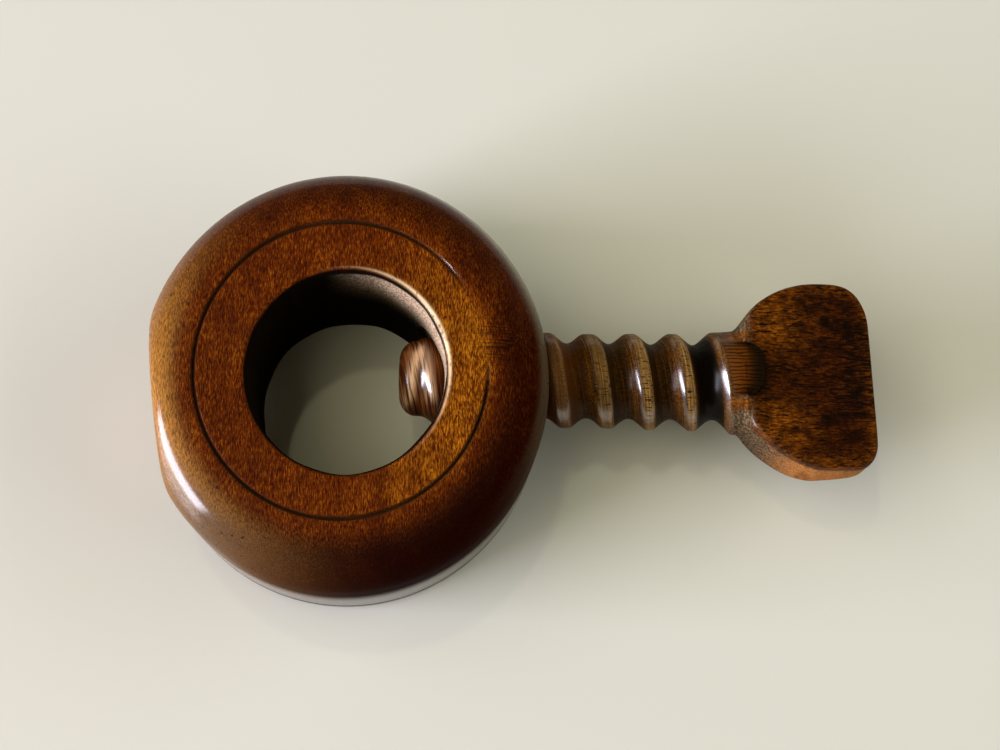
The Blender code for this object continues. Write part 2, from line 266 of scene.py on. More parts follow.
# %% [markdown]
# ## The ring
# The section is carried round. Then old age is put in, one formula at a time. Wood shrinks across its grain,
# which runs along Y here, so the round ring is now slightly oval. The chamber and the circle sit a little off
# the centre. A flat was cut opposite the screw, and its edges have worn round: a smooth minimum of two
# distances does just that. The incised lines are narrow valleys in the surface, and the circle has almost
# been rubbed away where the thumb rests. Two small nicks were hewn out of the chamber's mouth.

# %% The ring
FACET_DISTANCE = 26.85 * MM
FACET_DIRECTION = -np.array([np.cos(np.radians(8)), np.sin(np.radians(8))])
FACET_WEAR = 1.1 * MM
GRAIN_STRETCH = 1.048
CHAMBER_OFFSET = np.array([0.4, -0.65]) * MM
CIRCLE_OFFSET = np.array([-0.3, -0.1]) * MM
WOBBLE = 0.1 * MM
NICK_DEPTHS = np.array([0.3, 0.24]) * MM
NICK_ANGLES = [2.2, 2.42]
NICK_SPREAD = 0.05
SHOULDER_WEAR = 0.14 * MM
RING_COLUMNS = 320


def circle_wear(angle):
    """How much of the incised circle is left, by direction: nearly all, but little between 3 and 32 degrees."""
    from_worn = np.abs((angle - np.radians(17.5) + np.pi) % (2 * np.pi) - np.pi)
    gone = np.clip((np.radians(27) - from_worn) / np.radians(13), 0, 1)
    thin = 0.3 * hump(angle - np.radians(48), np.radians(17))
    return (1 - 0.93 * gone * gone * (3 - 2 * gone)) * (1 - thin)


def ring_grid():
    """Carries the section round Z: x = r cos(angle), y = r sin(angle), with the changes of age on the way."""
    angle = once_round(RING_COLUMNS)
    radius, height = section[:, 0][:, None], section[:, 1][:, None]
    wobble = WOBBLE * (np.sin(3 * angle + 0.6) + 0.6 * np.sin(5 * angle + 2.0) + 0.5 * np.sin(11 * angle))
    hewn = sum(depth * hump(angle - place, NICK_SPREAD) for depth, place in zip(NICK_DEPTHS, NICK_ANGLES))
    near_chamber = np.clip((CIRCLE_RADIUS - radius) / (CIRCLE_RADIUS - CHAMBER_RADIUS), 0, 1) ** 2
    upper = np.clip(height / RING_HEIGHT, 0, 1) ** 2
    top_line = valley(radius - CIRCLE_RADIUS, CIRCLE_WIDTH) * (height > RING_HEIGHT * 0.9)
    side_line = valley(height - SIDE_LINE_HEIGHT, SIDE_LINE_WIDTH) * (radius > CIRCLE_RADIUS)
    z = height - top_line * CIRCLE_DEPTH * circle_wear(angle)
    over_shoulder = np.clip((radius - CIRCLE_RADIUS) / SHOULDER_WIDTH, 0, 1)
    worn_in = SHOULDER_WEAR * (1 + np.sin(2 * angle + 1.1)) / 2 * over_shoulder
    r = radius + near_chamber * (wobble - hewn * upper) - side_line * SIDE_LINE_DEPTH - worn_in
    mouth_radius = CHAMBER_RADIUS + WALL_FLARE + MOUTH_FLARE
    stations = [0, mouth_radius, CIRCLE_RADIUS, RING_RADIUS - SIDE_DRAW - BASE_ROUND]
    shift_x = np.interp(radius, stations, [CHAMBER_OFFSET[0], CHAMBER_OFFSET[0], CIRCLE_OFFSET[0], 0])
    shift_y = np.interp(radius, stations, [CHAMBER_OFFSET[1], CHAMBER_OFFSET[1], CIRCLE_OFFSET[1], 0])
    x = r * np.cos(angle) + shift_x
    y = r * np.sin(angle) * GRAIN_STRETCH + shift_y
    foot = 1 - np.sqrt(1 - np.clip(1 - z / BASE_ROUND, 0, 1) ** 2)
    limit = FACET_DISTANCE - BASE_ROUND * foot
    reach = x * FACET_DIRECTION[0] + y * FACET_DIRECTION[1]
    cut = smooth_least(reach, limit, FACET_WEAR) - reach
    x, y = x + cut * FACET_DIRECTION[0], y + cut * FACET_DIRECTION[1]
    return np.stack(np.broadcast_arrays(x, y, z), axis=-1) + RING_MIDDLE


ring = make_piece("ring_turned", ring_grid(), closed_rows=True)

# %% [markdown]
# ## The thread
# The coarse thread is the heart of the tool. It is one formula for the depth of the groove at an angle round
# the axis and a place along it. The phase, place divided by pitch less turns, is the same all along a crest,
# so a right-handed crest moves one pitch in one turn. The screw and the hole both use the formula, and the
# hole is wider by an even clearance. A raised cosine gives the round valleys. A share of a parabola is mixed
# in, because the real crests keep a crisp edge where the cutter left the wood.

# %% The thread
THREAD_CLEARANCE = 0.42 * MM
CRISPNESS = 0.55


def thread_phase(angle, along):
    """Turns along the helix: place over pitch, less the angle from +Y towards +Z as a share of a turn."""
    return (along - CREST_PLACE) / PITCH - angle / (2 * np.pi)


def groove(angle, along):
    """Depth share of the groove, 0 on a crest's land and 1 in the valley, and the place of that valley."""
    phase = thread_phase(angle, along)
    from_valley = phase - np.floor(phase) - 0.5
    reach = np.minimum(1, np.abs(from_valley) / (0.5 - CREST_LAND_SHARE / 2))
    round_cut = (1 + np.cos(np.pi * reach)) / 2
    crisp_cut = 1 - reach ** 2
    return round_cut + (crisp_cut - round_cut) * CRISPNESS, along - from_valley * PITCH


def round_axis(along, angle, radius):
    """Points about the screw's axis: y = r cos(angle), z = r sin(angle)."""
    along, angle, radius = np.broadcast_arrays(along, angle, radius)
    return np.stack([along, radius * np.cos(angle), radius * np.sin(angle)], axis=-1) + SCREW_AXIS


on_crest, half_a_pitch_on = groove(0, np.array([CREST_PLACE, CREST_PLACE + PITCH / 2]))[0].round(2)
print("The groove's depth share is", on_crest, "on a crest and", half_a_pitch_on, "half a pitch further")

# %% [markdown]
# ## The tapped hole
# The hole through the ring's wall is cut by a rod with that same thread, made wider by the clearance. Cutting
# with a Boolean leaves a mesh like any other, so it is applied at once and the rod is thrown away. Edges
# sharper than 40 degrees stay crisp, and everything else is shaded smooth.

# %% The tapped hole
HOLE_START = 2 * MM
HOLE_END = 33 * MM
HOLE_STEP = 0.2 * MM
hole_along = np.arange(HOLE_START, HOLE_END, HOLE_STEP)[:, None]
hole_angle = once_round(96)
hole_depth, _ = groove(hole_angle, hole_along)
hole_radius = THREAD_CREST + THREAD_CLEARANCE - THREAD_DEPTH * hole_depth
cutter = make_piece("tapping_rod", round_axis(hole_along, hole_angle, hole_radius), closed_rows=False)
boolean = ring.modifiers.new("tapped_hole", "BOOLEAN")
boolean.solver = "EXACT"
boolean.operation = "DIFFERENCE"
boolean.object = cutter
bpy.context.view_layer.update()
cut_ring = bpy.data.meshes.new_from_object(ring.evaluated_get(bpy.context.evaluated_depsgraph_get()))
ring.modifiers.clear()
ring.data = cut_ring
ring.data.shade_smooth()
ring.data.set_sharp_from_angle(angle=np.radians(40))
bpy.data.objects.remove(cutter)
print("The ring now has", len(ring.data.polygons), "faces")

# %% [markdown]
# ## The thumb-piece's outline
# Seen from above, the thumb-piece is a disc whose far end was sawn straight. It was cut by eye, and its four
# quarters differ: each one is a superellipse with its own power. A power of 2 is a true circle, a higher one
# fills the corner and a lower one flattens it. The collar's round neck swells into the outline.

# %% The thumb-piece's outline
GROOVE_END = 54.0 * MM
COLLAR_START = 50.0 * MM
COLLAR_END = 57.54 * MM
COLLAR_RADIUS = 7.65 * MM
THUMB_FAR_WIDTH = 14.0 * MM
THUMB_THIS_WIDTH = 14.0 * MM
THUMB_CENTRE = 68.64 * MM
THUMB_NEAR_REACH = 14.0 * MM
THUMB_END = 76.46 * MM
THUMB_HALF_THICKNESS = 5.9 * MM
THUMB_END_HALF_THICKNESS = 5.6 * MM
NECK_LENGTH_IN_DISC = 4 * MM
NECK_BLEND = 1.6 * MM
QUARTER_POWERS = {"near_far_side": 2.0, "near_this_side": 1.6, "end_far_side": 3.6, "end_this_side": 5.5}


def soft_step(value, start, end):
    """Rises smoothly from 0 at the start to 1 at the end: 3 t squared less 2 t cubed."""
    t = np.clip((value - start) / (end - start), 0, 1)
    return t * t * (3 - 2 * t)


def quarter(along, near_power, end_power):
    """Half width over the disc's radius: (1 - t^p)^(1/p), with t counted from the disc's middle either way."""
    near = np.clip((THUMB_CENTRE - along) / THUMB_NEAR_REACH, 0, 1)
    end = np.clip((along - THUMB_CENTRE) / (THUMB_END - THUMB_CENTRE), 0, 1)
    return (1 - near ** near_power) ** (1 / near_power) * (1 - end ** end_power) ** (1 / end_power)


def half_widths(along):
    """Half widths from the screw's axis to +Y and to -Y: the neck, or the disc where that is wider."""
    powers = QUARTER_POWERS
    far = THUMB_FAR_WIDTH * quarter(along, powers["near_far_side"], powers["end_far_side"])
    this = THUMB_THIS_WIDTH * quarter(along, powers["near_this_side"], powers["end_this_side"])
    neck = np.where(along < THUMB_CENTRE - NECK_LENGTH_IN_DISC, COLLAR_RADIUS, 0)
    disc = soft_step(along, COLLAR_START + 2 * MM, COLLAR_END + 1 * MM)
    return (neck + (smooth_most(neck, far, NECK_BLEND) - neck) * disc,
            neck + (smooth_most(neck, this, NECK_BLEND) - neck) * disc)


far_width, this_width = half_widths(np.linspace(COLLAR_START, THUMB_END, 200))
print("The thumb-piece is", round((far_width + this_width).max() / MM, 1), "mm wide")

# %% [markdown]
# ## The screw's sections
# The real screw is one piece of wood, so it is one grid from the nose to the sawn end. Every row of the grid is a
# section across the axis. The rows lie close together where the shape bends fast: on the dome of the nose, at the
# step of the face and at the end. The thread needs them evenly spaced, about thirty to a turn.

# %% The screw's sections
NOSE_FLAT = 2.6 * MM
NOSE_CROWN = 0.1 * MM
THREAD_ROW_STEP = 0.19 * MM
TONGUE_END = 60.2 * MM
SCREW_COLUMNS = 224


def screw_stations():
    """Places of the sections along the axis, each with the nose's own radius there."""
    flat_radius = np.linspace(0.06, 1, 7) ** 0.8 * NOSE_FLAT
    flat = NOSE_TIP + NOSE_CROWN * (flat_radius / NOSE_FLAT) ** 2
    dome = np.linspace(0, np.pi / 2, 14)[1:]
    dome_place = NOSE_TIP + NOSE_CROWN + (NOSE_LENGTH - NOSE_CROWN) * (1 - np.cos(dome))
    dome_radius = NOSE_FLAT + (THREAD_ROOT - NOSE_FLAT) * np.sin(dome)
    thread = np.arange(NOSE_TIP + NOSE_LENGTH + 0.15 * MM, COLLAR_END - 1.5 * MM, THREAD_ROW_STEP)
    neck = np.linspace(COLLAR_END - 1.4 * MM, TONGUE_END - 1.9 * MM, 22)
    step = np.linspace(TONGUE_END - 1.8 * MM, TONGUE_END + 1.0 * MM, 28)
    disc = np.linspace(TONGUE_END + 1.3 * MM, THUMB_CENTRE, 22)
    end_share = np.sin(np.linspace(0, np.pi / 2, 46)[1:-1]) ** 0.75
    end = THUMB_CENTRE + (THUMB_END - THUMB_CENTRE) * end_share
    behind_nose = np.concatenate([thread, neck, step, disc, end])
    places = np.concatenate([flat, dome_place, behind_nose])
    radii = np.concatenate([flat_radius, dome_radius, np.full(len(behind_nose), THREAD_ROOT)])
    return places[:, None], radii[:, None]


print("The screw has", len(screw_stations()[0]), "sections of", SCREW_COLUMNS, "points")

# %% [markdown]
# ## The worn thread
# The groove takes wood away from a plain rod, and fades out over a fifth of a turn at the collar. Long use has
# worn the crests flat, most of all in the middle of the thread, where it works in the ring: a smooth lesser of
# the new radius and the worn one gives the narrow flat lands. A slip of the cutter left one shallow cut round
# the nose.

# %% The worn thread
RIDGE_RISE = 3.1 * MM
RUN_OUT_SHARE = 0.2
WEAR_PLACES = np.array([14, 24, 31, 37, 43.3, 49.5]) * MM
WEAR_DEPTHS = np.array([0.06, 0.12, 0.28, 0.36, 0.14, 0.06]) * MM
WEAR_ROUND = 0.28 * MM
UNWORN_RADIUS = 9 * MM
NOSE_CUT_DEPTH = 0.22 * MM
NOSE_CUT_WIDTH = 1.2 * MM
NOSE_CUT_TURN = 0.06


def threaded(angle, along):
    """The rod's radius over its crests, the share of it that groove and wear leave, and the groove's depth share."""
    nose_back = NOSE_TIP + NOSE_LENGTH
    ridge = np.interp(along, [nose_back, nose_back + RIDGE_RISE, COLLAR_START, COLLAR_END],
                      [THREAD_ROOT, THREAD_CREST, THREAD_CREST, COLLAR_RADIUS])
    share, valley_place = groove(angle, along)
    run_out = np.interp(valley_place, [GROOVE_END, GROOVE_END + RUN_OUT_SHARE * PITCH], [1, 0])
    radius = ridge - (ridge - THREAD_ROOT) * share * run_out
    worn_crest = THREAD_CREST - np.interp(along, WEAR_PLACES, WEAR_DEPTHS)
    worn_to = np.where(along < COLLAR_START + 2 * MM, worn_crest, UNWORN_RADIUS)
    return ridge, smooth_least(radius, worn_to, WEAR_ROUND) / ridge, share * run_out


def cut_nose(angle, along, radius):
    """The nose's radius less a shallow cut, a valley whose middle follows the helix and starts behind the tip."""
    turns = thread_phase(angle, along)
    from_cut = (turns - np.round(turns - NOSE_CUT_TURN) - NOSE_CUT_TURN) * PITCH
    starts = soft_step(along, NOSE_TIP, NOSE_TIP + 1 * MM)
    return radius - NOSE_CUT_DEPTH * valley(from_cut, NOSE_CUT_WIDTH) * starts


print("Use has lowered the crests by up to", round(WEAR_DEPTHS.max() / MM, 2), "mm")

# %% [markdown]
# ## From a round rod to a flat slab
# The direction of a point in a section is that of an ellipse, divided by the p-norm of its cosine and sine: a
# power of 2 leaves the ellipse, and a power of 18 squares it up to a slab. So the round neck can grow into the
# flat thumb-piece with no seam. Only the upper face keeps a crisp edge: lower down, the power falls again and
# leaves a round belly.

# %% From a round rod to a flat slab
SIDE_BLEND = 0.3 * MM
END_ROUND = 0.8 * MM


def slab_section(c, s, along, ridge):
    """Half width, half thickness and power of the section, by place and by the side of the axis it is on."""
    far_width, this_width = half_widths(along)
    body = along > COLLAR_START
    wide = np.where(body, np.where(c > 0, far_width, this_width), ridge)
    least = smooth_least(wide, ridge, SIDE_BLEND)
    widens = soft_step(along, COLLAR_END - 3 * MM, COLLAR_END)
    wide = np.where(body, least + (wide - least) * widens, wide)
    flatten = soft_step(along, COLLAR_END - 0.4 * MM, COLLAR_END + 0.6 * MM)
    taper = np.clip((along - TONGUE_END) / (THUMB_END - TONGUE_END), 0, 1) ** 1.3
    slab = THUMB_HALF_THICKNESS + (THUMB_END_HALF_THICKNESS - THUMB_HALF_THICKNESS) * taper
    thick = np.where(body, ridge + (slab - ridge) * flatten, ridge)
    end_round = np.clip((along - (THUMB_END - END_ROUND)) / END_ROUND, 0, 1)
    square = soft_step(along, COLLAR_END - 0.4 * MM, COLLAR_END + 2.6 * MM)
    belly = soft_step(along, COLLAR_END + 5 * MM, THUMB_END - 2 * MM)
    power = np.where(s > 0, 2 + 16 * square, 2 + 7 * square - 6.4 * belly)
    return wide, thick * (1 - end_round ** 3) ** (1 / 3), power


upper_powers = slab_section(0, 1, np.array([COLLAR_START, THUMB_CENTRE]), THREAD_CREST)[2]
print("From the collar to the thumb-piece, the upper half's power goes from", *upper_powers.round(1))

# %% [markdown]
# ## The tongue and its step
# A tongue of the round neck runs out over the face and ends in a curved step, where the flat was pared down. It is
# a height over the axis, and the greater of that height and the slab's own is kept, rounded where they meet.

# %% The tongue and its step
TONGUE_RISE = 1.35 * MM
TONGUE_HALF_WIDTH = 4.1 * MM
TONGUE_MIDDLE = 0.45 * MM
TONGUE_BLEND = 0.2 * MM
STEP_CURVE = 0.0075
STEP_DROP = 4 * MM


def tongue_height(along, y):
    """Height of the tongue: level along it, falling to its sides by a power of 5, and gone beyond the step."""
    from_middle = y - TONGUE_MIDDLE
    step_line = TONGUE_END - STEP_CURVE * (from_middle / MM) ** 4 * MM
    gone = soft_step(along, step_line - 0.25 * MM, step_line + 0.3 * MM)
    across = np.clip(np.abs(from_middle) / TONGUE_HALF_WIDTH, 0, 1.2)
    rise = TONGUE_RISE + np.interp(along, [COLLAR_END - 2 * MM, COLLAR_END, TONGUE_END], [-0.6 * MM, 0.3 * MM, 0])
    return THUMB_HALF_THICKNESS + rise * (1 - across ** 5) - STEP_DROP * gone


tongue_over_face = tongue_height(TONGUE_END - 1 * MM, TONGUE_MIDDLE) - THUMB_HALF_THICKNESS
print("A millimetre before its step, the tongue is", round(tongue_over_face / MM, 2), "mm over the face")

# %% [markdown]
# ## The screw in one skin
# All of this comes together here. The sawn end leans by a degree and a half, as the maker's saw did.

# %% The screw in one skin
END_LEAN = np.radians(1.5)


def screw_grid():
    """Sections across the axis: y = width * share * cos / norm, z = thickness * share * sin / norm."""
    along, nose_radius = screw_stations()
    angle = once_round(SCREW_COLUMNS) - np.pi / 2
    c, s = np.cos(angle), np.sin(angle)
    ridge, thread, depth = threaded(angle, along)
    nose_radius = cut_nose(angle, along, nose_radius)
    wide, thick, power = slab_section(c, s, along, ridge)
    norm = (np.abs(c) ** power + np.abs(s) ** power) ** (1 / power)
    on_nose = along < NOSE_TIP + NOSE_LENGTH
    y = np.where(on_nose, nose_radius * c, wide * thread * c / norm)
    z = np.where(on_nose, nose_radius * s, thick * thread * s / norm)
    on_tongue = (along > COLLAR_END - 2 * MM) & (along < TONGUE_END + 1 * MM) & (s > 0) & (np.abs(c) < 0.8)
    z = np.where(on_tongue, smooth_most(z, tongue_height(along, y), TONGUE_BLEND), z)
    x = along - np.tan(END_LEAN) * np.clip((along - THUMB_CENTRE) / (THUMB_END - THUMB_CENTRE), 0, 1) * y
    grid = np.stack(np.broadcast_arrays(x, y, z), axis=-1) + SCREW_AXIS
    depth = np.where(on_nose, 0.35, depth) * (1 - soft_step(along, COLLAR_END - 1 * MM, COLLAR_END))
    return grid, angle, along, depth


screw_points, screw_angle, screw_along, screw_depth = screw_grid()
screw = make_piece("screw_carved", screw_points, closed_rows=False)
screw.data.set_sharp_from_angle(angle=np.radians(60))

# %% [markdown]
# ## Marks that the materials read
# Dirt and wear follow the shape: grime lies in the thread's valleys and in the incised lines, and hands keep the
# crests, the rims and the edges pale. Other marks are painted light and shade: painted shadow at the foot of the
# step and in the groove behind the collar, painted shade on sides turned from the window, and painted highlights
# and sheens where the window shines. Each of these is a number from 0 to 1 at every point, worked out from the
# point's own place, and stored on the mesh for the materials. It could be painted by hand, but a formula is
# easier to move and never misses a spot. From here on, places are in millimetres. The first marks are the ring's
# lines, the rim of its mouth, with its painted highlight, and the inside of the chamber, painted dark as shade,
# with a pale band above the screw where shell dust carries painted light and sheen.

# %% Marks on the ring's lines and chamber
TOP_LINE_DIRT = 1.1
SIDE_LINE_DIRT = 0.7
NEAR_TOP = 22.5
RIM_TOP = 22.2
places = (places_of(ring) - RING_MIDDLE) / MM
up = places[:, 2]
ring_angle = np.arctan2(places[:, 1], places[:, 0])
plan = places[:, :2] - CIRCLE_OFFSET / MM
from_circle = np.hypot(plan[:, 0], plan[:, 1] / GRAIN_STRETCH) - CIRCLE_RADIUS / MM
in_chamber = places[:, :2] - CHAMBER_OFFSET / MM
rim_radius = (CHAMBER_RADIUS + WALL_FLARE + MOUTH_FLARE) / MM
mouth = np.hypot(in_chamber[:, 0], in_chamber[:, 1] / GRAIN_STRETCH) - rim_radius


def towards(degrees, power):
    """1 on the side of the ring that lies in a direction, falling as the cosine of the angle from it, to a power."""
    return np.clip(np.cos(ring_angle - np.radians(degrees)), 0, 1) ** power


top_line = valley(from_circle, TOP_LINE_DIRT) * (up > NEAR_TOP) * circle_wear(ring_angle)
low_line = valley(up - SIDE_LINE_HEIGHT / MM, SIDE_LINE_DIRT) * (from_circle > 4)
store(ring, "line", np.maximum(top_line, low_line))
# Bare worn wood on the rim at the upper right, brightened into a painted highlight where the window glints.
rim_worn_and_lit = towards(24, 2.5)
store(ring, "rim", hump(mouth + 0.12, 0.12 + 0.14 * rim_worn_and_lit) * (up > RIM_TOP) * rim_worn_and_lit)
# Painted shade: the inside of the chamber is made nearly black.
store(ring, "inside", soft_step(-mouth, 0.22, 0.55) * (np.abs(up - 12) < 12.3))
# Pale band on the wall above the screw: shell dust with painted window light and sheen, fading downwards.
rubbed = soft_step(up, 11.0, 22.0) ** 1.6 * soft_step(up, 23.75, 23.35)
rubbed_side = soft_step(np.cos(ring_angle - np.radians(20)), 0.1, 0.95)
store(ring, "rubbed", rubbed * soft_step(-mouth, 0.5, 0.7) * rubbed_side)
print("The lines, the rim and the chamber are marked at", len(up), "points")

# %% [markdown]
# ## Marks of hands, shelter and painted light on the ring
# The thumb has polished the face on the screw's side to orange. The shoulder at the far left is tan, partly from
# the hand and partly painted light on the side towards the window. Towards the lower right the shoulder turns
# dark: old wax, with painted shade on the side turned from the window. A pale grey band by the outline at the
# upper right is a painted sheen, and the foot is paled by dust and a painted reflection of the table. Some fine
# scratches run across the face by the screw, and a little dust with a painted sheen lies on the lower left.

# %% Marks of hands, shelter and painted light on the ring
on_ring_face = soft_step(from_circle, 1.5, -1.0) * soft_step(-mouth, 0.5, 0.1)
store(ring, "thumbed", on_ring_face * towards(-6, 1.9))
# Painted shade over old wax: the shoulder darkens towards the lower right, the side turned from the window.
shoulder_dark = soft_step(from_circle, -0.5, 5) * (0.56 + 0.44 * towards(-58, 0.8))
store(ring, "patina", np.maximum(shoulder_dark, 0.16 * towards(200, 1)))
# Painted sheen: a pale grey band by the outline at the upper right, where the wax reflects the room at a slant.
edge_band = soft_step(from_circle, 6.6, 8.2) * soft_step(up, 10, 14) * soft_step(up, 22.5, 21)
store(ring, "edge", edge_band * towards(35, 2))
# The foot is paler: dust, with a painted reflection of the table in the wax.
foot = soft_step(up, 14.0, 6.5) * soft_step(from_circle, 5, 8)
sheltered = soft_step(np.cos(ring_angle - np.radians(-50)), 0.05, 0.55) * soft_step(from_circle, 0.5, 4)
store(ring, "dull", sheltered * (1 - foot))
store(ring, "foot", foot)
# Tan on the shoulder towards the window: partly wear from the hand, partly painted light.
store(ring, "handled", towards(196, 3) * soft_step(from_circle, 1.5, 5) * soft_step(up, 3, 9))
SCRATCHED_MIDDLE = (23.0, 4.0)
SCRATCHED_REACH = (4.6, 3.4)
from_scratches = (plan - SCRATCHED_MIDDLE) / SCRATCHED_REACH
store(ring, "scratched", np.exp(-(from_scratches ** 2).sum(axis=-1)) * (up > 18))
# Dust on the lower left shoulder, with a painted grey sheen of the window on it.
store(ring, "dusty", soft_step(from_circle, 3.0, 6.5) * towards(230, 12))
print("Marks kept on the ring:", len(ring.data.attributes))

# %% [markdown]
# ## Marks on the thread and the nose
# The screw is a regular grid, so its marks can be worked out on the same rows and columns as its shape. The
# lands of the crests are bare and pale where the thread is used most, one flank of each groove carries painted
# shade, and two painted highlights lie over the nose as pale bundles of fibres.

# %% Marks on the thread and the nose
LAND_PLACES = np.array([30, 36.5, 42.5, 49]) * MM
LAND_HALF_WIDTHS = [0.8, 0.9, 0.72, 0.6]
PALE_PLACES = np.array([12, 28, 31, 36, 42, 51, 51.5]) * MM
PALE_SHARES = [0, 0.12, 0.2, 0.42, 1, 1, 0]
rows, columns = screw_points.shape[:2]


def with_ends(values):
    """Flattens a grid of values and repeats its first and its last for the two end points of the piece."""
    values = np.broadcast_to(values, (rows, columns))
    return np.concatenate([values.ravel(), [values[0].mean(), values[-1].mean()]])


def mark_screw(name, values):
    """Stores a mark that was worked out on the screw's own rows and columns."""
    store(screw, name, with_ends(values))


screw_places = (screw_points - SCREW_AXIS) / MM
plan_x, plan_y, above = screw_places[..., 0], screw_places[..., 1], screw_places[..., 2]
turns = thread_phase(screw_angle, screw_along)
from_crest = (turns - np.round(turns)) * PITCH / MM
mark_screw("depth", screw_depth)
land_half = np.interp(screw_along, LAND_PLACES, LAND_HALF_WIDTHS)
land_mark = soft_step(np.abs(from_crest - 0.22), land_half + 0.16, land_half - 0.16)
mark_screw("crest", land_mark * np.interp(screw_along, PALE_PLACES, PALE_SHARES))
# Painted shade on the flank of each groove that is turned from the window.
shade = soft_step(from_crest, 0.75, 1.15) * soft_step(from_crest, 2.8, 1.7)
mark_screw("shade", shade * (screw_along > 14 * MM) * (screw_along < 53 * MM))
mark_screw("nose", soft_step(screw_along, 17 * MM, 13 * MM))
mark_screw("reddened", soft_step(screw_along, 36 * MM, 29 * MM))
nose_x = screw_along / MM
# Painted highlights of the window on the nose, drawn as two pale bundles of fibres.
bundles = np.maximum(hump(nose_x - 9.8 - 0.2 * plan_y, 0.75), hump(nose_x - 11.4 + 0.2 * plan_y, 0.65))
bundles = bundles * soft_step(plan_y, 4.6, 2.4) * soft_step(plan_y, -5.4, -3.6) * (above > 0)
mark_screw("bundles", bundles)
# Painted shadow in the deep groove before the collar.
black = soft_step(screw_depth, 0.25, 0.6) * soft_step(screw_along, 49 * MM, 50.5 * MM)
mark_screw("black", black)
print("The land of a crest is", 2 * LAND_HALF_WIDTHS[0], "mm wide at the ring")

# %% [markdown]
# ## Marks on the tongue
# The tongue shows the ends of fine ridges, turns black towards its step with painted shade, and has painted
# shadow just beyond the step, where the tongue's end hides the face from the window. It is also darker along one
# side, and has a clean orange corner on each side, where the flat was pared away beside it.

# %% Marks on the tongue
on_top = above > 4
from_tongue = plan_y - TONGUE_MIDDLE / MM
from_line = plan_x - (TONGUE_END / MM - STEP_CURVE * from_tongue ** 4)
tongue_side = soft_step(np.abs(from_tongue), 4.4, 3.8) * on_top
tongue_start = 54.6 - 0.2 * from_tongue
tongue = tongue_side * soft_step(plan_x - tongue_start, 0, 0.5) * soft_step(from_line, 0.3, -0.1)
mark_screw("tongue", tongue)
# Painted shade darkening the tongue towards its step, and painted shadow just beyond the step.
before_step = hump(np.clip(from_line + 0.9, None, 0), 2.3)
beyond_step = hump(from_line, 0.35)
step_shadow = np.where(from_line < 0, before_step, beyond_step)
tongue_edge = hump(from_tongue + 3.9, 0.5) * soft_step(plan_x, 55.6, 57.5) * (from_line < 0)
mark_screw("step", np.maximum(step_shadow, tongue_edge) * tongue_side)
beside = soft_step(np.abs(from_tongue), 4.2, 4.5) * soft_step(np.abs(from_tongue), 6.3, 5.5)
corner = beside * soft_step(plan_x, 54.4, 55.4) * soft_step(plan_x, 58.6, 57.8)
mark_screw("corner", corner * on_top)
step_curve_back = STEP_CURVE * (TONGUE_HALF_WIDTH / MM) ** 4
print("The step's line curves back by", round(step_curve_back, 2), "mm at the tongue's sides")

# %% [markdown]
# ## Marks on the thumb-piece
# Its face is warm and orange near the neck and along its edges, where fingers rub, and has old dark spots and
# many cracks at the sawn end. The spots are listed: place along, place across and size. So are the two warm
# places beside the neck, with a reach along and a reach across.

# %% Marks on the thumb-piece
THUMB_SPOTS = [(66.7, 9.6, 1.0), (69.4, 10.3, 0.9), (69.6, 7.9, 0.9), (72.6, 7.9, 0.7),
               (67.9, 2.4, 0.9), (74.4, 5.0, 0.8), (73.9, -3.1, 1.2), (73.0, -6.2, 1.1),
               (68.9, -6.9, 1.0), (68.6, -9.1, 1.2), (71.8, -9.1, 0.8)]
WARM_PLACES = [(61, 8, 5, 5.5), (62, -8, 4.5, 3.5)]
spots = np.zeros_like(plan_x)
for spot_x, spot_y, spot_size in THUMB_SPOTS:
    spots = np.maximum(spots, np.exp(-((plan_x - spot_x) ** 2 + (plan_y - spot_y) ** 2) / spot_size ** 2))
mark_screw("spots", spots * on_top)
cracked = soft_step(plan_x, 69.5, 73) * soft_step(np.abs(plan_y - 1), 8.5, 5)
mark_screw("cracked", cracked * on_top)
warm = np.zeros_like(plan_x)
for warm_x, warm_y, reach_x, reach_y in WARM_PLACES:
    warm = np.maximum(warm, np.exp(-(((plan_x - warm_x) / reach_x) ** 2 + ((plan_y - warm_y) / reach_y) ** 2)))
half_far, half_this = half_widths(screw_along)
from_edge = np.where(plan_y > 0, half_far, half_this) / MM - np.abs(plan_y)
warm_edge = hump(from_edge, 1.7) + 0.8 * hump(THUMB_END / MM - plan_x, 1.5)
warm = np.maximum(warm, 0.75 * np.minimum(warm_edge, 1) * soft_step(plan_x, 60, 63))
mark_screw("warm", warm * on_top)
on_slab = soft_step(screw_along, 57.5 * MM, 59 * MM)
on_thumb_face = soft_step(np.abs(above) / (THUMB_HALF_THICKNESS / MM), 0.62, 0.76) * on_slab
mark_screw("face", on_thumb_face)
print("Spots on the thumb-piece:", len(THUMB_SPOTS))

# %% [markdown]
# ## The helix as a place
# The cutter left fine lines along the thread. A noise that is read on the place would lie straight across them,
# so the point's place along the helix is stored too: the turn as a point on a circle, so that it has no seam, and
# the distance along the axis in pitches.

# %% The helix as a place
turn_angle = 2 * np.pi * turns
helix = screw.data.attributes.new("helix", "FLOAT_VECTOR", "POINT")
helix_values = [with_ends(np.cos(turn_angle)), with_ends(np.sin(turn_angle)), with_ends(screw_along / PITCH)]
helix.data.foreach_set("vector", np.stack(helix_values, axis=-1).astype(np.float32).ravel())
print("Marks kept on the screw:", len(screw.data.attributes))

# %% [markdown]
# ## A net of nodes
# A wood material is a small net of nodes. Each node could be placed and joined by hand in the editor. One helper
# does it here for every kind of node, and takes plain values and the results of other nodes alike.

